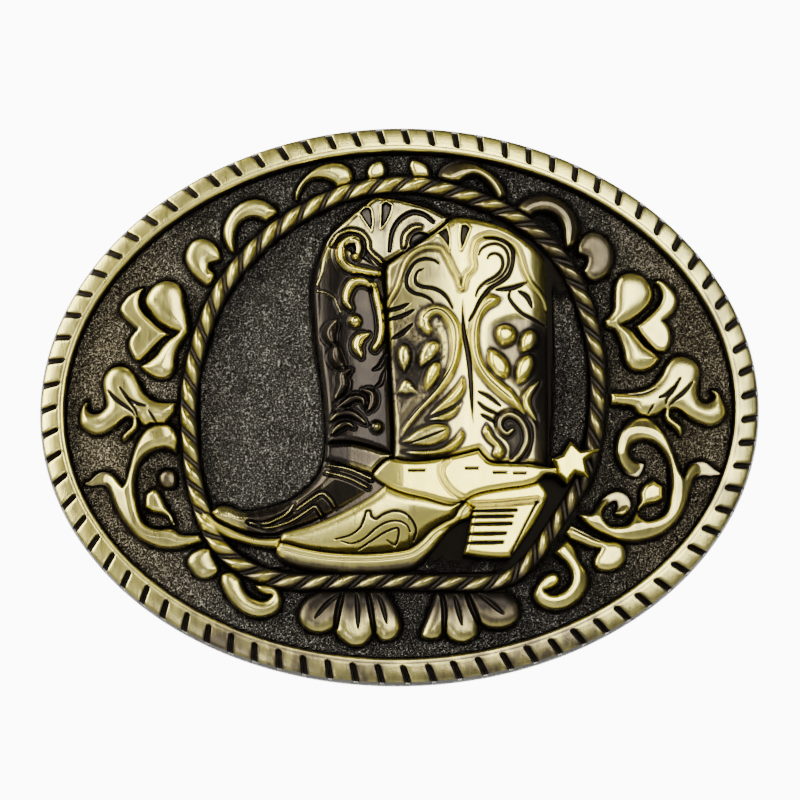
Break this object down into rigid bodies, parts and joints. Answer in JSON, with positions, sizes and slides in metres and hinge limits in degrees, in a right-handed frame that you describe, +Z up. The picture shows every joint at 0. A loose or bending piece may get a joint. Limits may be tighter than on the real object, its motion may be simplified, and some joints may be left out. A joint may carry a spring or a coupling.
{
  "type": "belt buckle",
  "caption": "Oval bent dress belt buckle with a notched rim, rope ring, two boot reliefs and scroll ornaments, a swinging belt loop and a hook peg on the back.",
  "frame": {"origin": "middle of the oval, on the front of the field where it stands furthest forward", "axes": "+Z up as worn, +Y to the back where the belt runs, -Y out of the decorated face, +X to the right as seen from the front"},
  "size_m": [0.098, 0.0155, 0.076],
  "materials": {
    "antique_brass": "satin",
    "blackened_brass": "matte",
    "nickel_plated_brass": "satin",
    "steel_wire": "satin"
  },
  "bodies": {
    "buckle": {"base_plate": "nickel_plated_brass", "rim_border": "antique_brass", "rope_ring": "antique_brass", "rear_boot_shaft": "blackened_brass", "rear_ankle_band": "blackened_brass", "rear_boot_foot": "blackened_brass", "rear_boot_sole": "antique_brass", "front_boot_shaft": "antique_brass", "front_boot_foot": "antique_brass", "front_boot_sole": "antique_brass", "front_boot_heel": "antique_brass", "spur_strap": "antique_brass", "spur_rowel": "antique_brass", "crescent_upper_left": "antique_brass", "crescent_lower_left": "antique_brass", "crescent_upper_right": "antique_brass", "crescent_lower_right": "antique_brass", "bean_left": "antique_brass", "bean_right": "antique_brass", "top_bud_left": "antique_brass", "top_bud_right": "antique_brass", "heart_outer_left": "antique_brass", "heart_inner_left": "antique_brass", "heart_outer_right": "antique_brass", "heart_inner_right": "antique_brass", "acanthus_left": "antique_brass", "acanthus_right": "antique_brass", "scroll_left": "antique_brass", "scroll_right": "antique_brass", "scroll_ball_left": "antique_brass", "scroll_bud_left": "antique_brass", "scroll_bud_right": "antique_brass", "bulb_left": "antique_brass", "bulb_right": "antique_brass", "volute_left": "antique_brass", "volute_right": "antique_brass", "fan_left": "antique_brass", "fan_right": "antique_brass", "loop_lug_upper": "nickel_plated_brass", "loop_lug_lower": "nickel_plated_brass", "hook_foot": "nickel_plated_brass", "hook_peg": "nickel_plated_brass"},
    "loop": {"belt_loop": "steel_wire"}
  },
  "joints": [
    {"name": "belt_loop_hinge", "type": "hinge", "parent": "buckle", "child": "loop", "pos_m": [0.031, 0.0074, 0], "axis": [0, 0, -1], "range_deg": [0, 150]}
  ]
}
